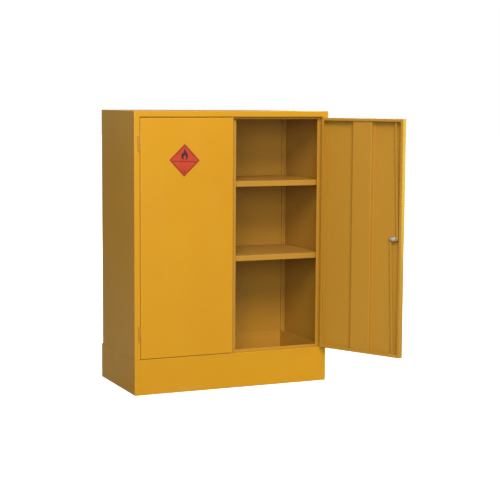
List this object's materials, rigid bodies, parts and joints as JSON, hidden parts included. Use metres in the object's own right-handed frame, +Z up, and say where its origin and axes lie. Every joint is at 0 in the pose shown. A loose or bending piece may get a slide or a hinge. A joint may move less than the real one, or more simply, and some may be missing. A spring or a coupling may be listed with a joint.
{
  "type": "flammable liquids storage cabinet",
  "caption": "Upright folded-steel storage cabinet on a plinth base, with hinged doors, a two-rod lock, lift-out shelves and a leak sump below.",
  "frame": {"origin": "on the floor, at the centre of the plinth base's footprint", "axes": "+Z up; the doors face -Y and the back panel faces +Y; +X is to the right of a person who looks at the doors"},
  "size_m": [1.1074, 0.8563, 1.219],
  "materials": {
    "powder_coat_yellow": "semi-gloss powder coat with light orange peel",
    "powder_coat_yellow_inside": "satin powder coat",
    "zinc_plated_steel": "bright zinc plating",
    "yellow_passivated_steel": "yellow passivated zinc plating",
    "satin_nickel_casting": "satin nickel plated die casting",
    "white_nylon": "moulded nylon",
    "label_red": "printed self-adhesive vinyl"
  },
  "bodies": {
    "carcass": {"body_shell": "powder_coat_yellow", "back_panel": "powder_coat_yellow_inside", "base_front_rail": "powder_coat_yellow", "base_back_rail": "powder_coat_yellow", "base_left_rail": "powder_coat_yellow", "base_right_rail": "powder_coat_yellow", "sump_tray": "powder_coat_yellow_inside", "sump_bearer": "powder_coat_yellow_inside", "front_left_upright": "powder_coat_yellow_inside", "front_right_upright": "powder_coat_yellow_inside", "rear_left_upright": "powder_coat_yellow_inside", "rear_right_upright": "powder_coat_yellow_inside", "lower_shelf": "powder_coat_yellow_inside", "lower_shelf_stiffener": "powder_coat_yellow_inside", "lower_shelf_clip_front_left": "zinc_plated_steel", "lower_shelf_clip_front_right": "zinc_plated_steel", "lower_shelf_clip_rear_left": "zinc_plated_steel", "lower_shelf_clip_rear_right": "zinc_plated_steel", "upper_shelf": "powder_coat_yellow_inside", "upper_shelf_stiffener": "powder_coat_yellow_inside", "upper_shelf_clip_front_left": "zinc_plated_steel", "upper_shelf_clip_front_right": "zinc_plated_steel", "upper_shelf_clip_rear_left": "zinc_plated_steel", "upper_shelf_clip_rear_right": "zinc_plated_steel", "left_lower_hinge_frame_leaf": "powder_coat_yellow", "left_lower_hinge_pin": "zinc_plated_steel", "left_upper_hinge_frame_leaf": "powder_coat_yellow", "left_upper_hinge_pin": "zinc_plated_steel", "right_lower_hinge_frame_leaf": "powder_coat_yellow", "right_lower_hinge_pin": "zinc_plated_steel", "right_upper_hinge_frame_leaf": "powder_coat_yellow", "right_upper_hinge_pin": "zinc_plated_steel"},
    "left_door": {"left_door": "powder_coat_yellow", "left_door_stiffener": "powder_coat_yellow", "meeting_strip": "powder_coat_yellow", "hazard_label": "label_red", "left_lower_hinge_door_leaf": "powder_coat_yellow", "left_upper_hinge_door_leaf": "powder_coat_yellow"},
    "right_door": {"right_door": "powder_coat_yellow", "right_door_stiffener": "powder_coat_yellow", "right_lower_hinge_door_leaf": "powder_coat_yellow", "right_upper_hinge_door_leaf": "powder_coat_yellow", "lock_escutcheon": "satin_nickel_casting", "lock_body": "zinc_plated_steel", "lock_body_nut": "yellow_passivated_steel", "upper_rod_guide": "white_nylon", "lower_rod_guide": "white_nylon"},
    "handle": {"handle": "satin_nickel_casting", "lock_spindle": "zinc_plated_steel", "lock_cam": "yellow_passivated_steel", "cam_nut": "zinc_plated_steel", "upper_rod_pin": "yellow_passivated_steel", "lower_rod_pin": "yellow_passivated_steel"},
    "lock_barrel": {"lock_barrel": "zinc_plated_steel"},
    "upper_rod": {"upper_locking_rod": "powder_coat_yellow"},
    "lower_rod": {"lower_locking_rod": "powder_coat_yellow"}
  },
  "joints": [
    {"name": "left_door_hinge", "type": "hinge", "parent": "carcass", "child": "left_door", "pos_m": [-0.4365, -0.2295, 0.67375], "axis": [0, 0, -1], "range_deg": [0, 170]},
    {"name": "right_door_hinge", "type": "hinge", "parent": "carcass", "child": "right_door", "pos_m": [0.4365, -0.2295, 0.67375], "axis": [0, 0, 1], "range_deg": [-117, 53]},
    {"name": "handle_turn", "type": "hinge", "parent": "right_door", "child": "handle", "pos_m": [0.61333, -0.57655, 0.67375], "axis": [-0.891, -0.454, 0], "range_deg": [0, 90]},
    {"name": "lock_barrel_turn", "type": "hinge", "parent": "handle", "child": "lock_barrel", "pos_m": [0.61333, -0.57655, 0.67375], "axis": [-0.891, -0.454, 0], "range_deg": [0, 90]},
    {"name": "upper_rod_pivot", "type": "hinge", "parent": "handle", "child": "upper_rod", "pos_m": [0.62118, -0.59196, 0.67375], "axis": [-0.891, -0.454, 0], "range_deg": [-92, 0]},
    {"name": "lower_rod_pivot", "type": "hinge", "parent": "handle", "child": "lower_rod", "pos_m": [0.60547, -0.56113, 0.67375], "axis": [-0.891, -0.454, 0], "range_deg": [-92, 0]}
  ],
  "couplings": [
    {"joint": "upper_rod_pivot", "follows": "handle_turn", "ratio": -1.0215},
    {"joint": "lower_rod_pivot", "follows": "handle_turn", "ratio": -1.0215}
  ]
}
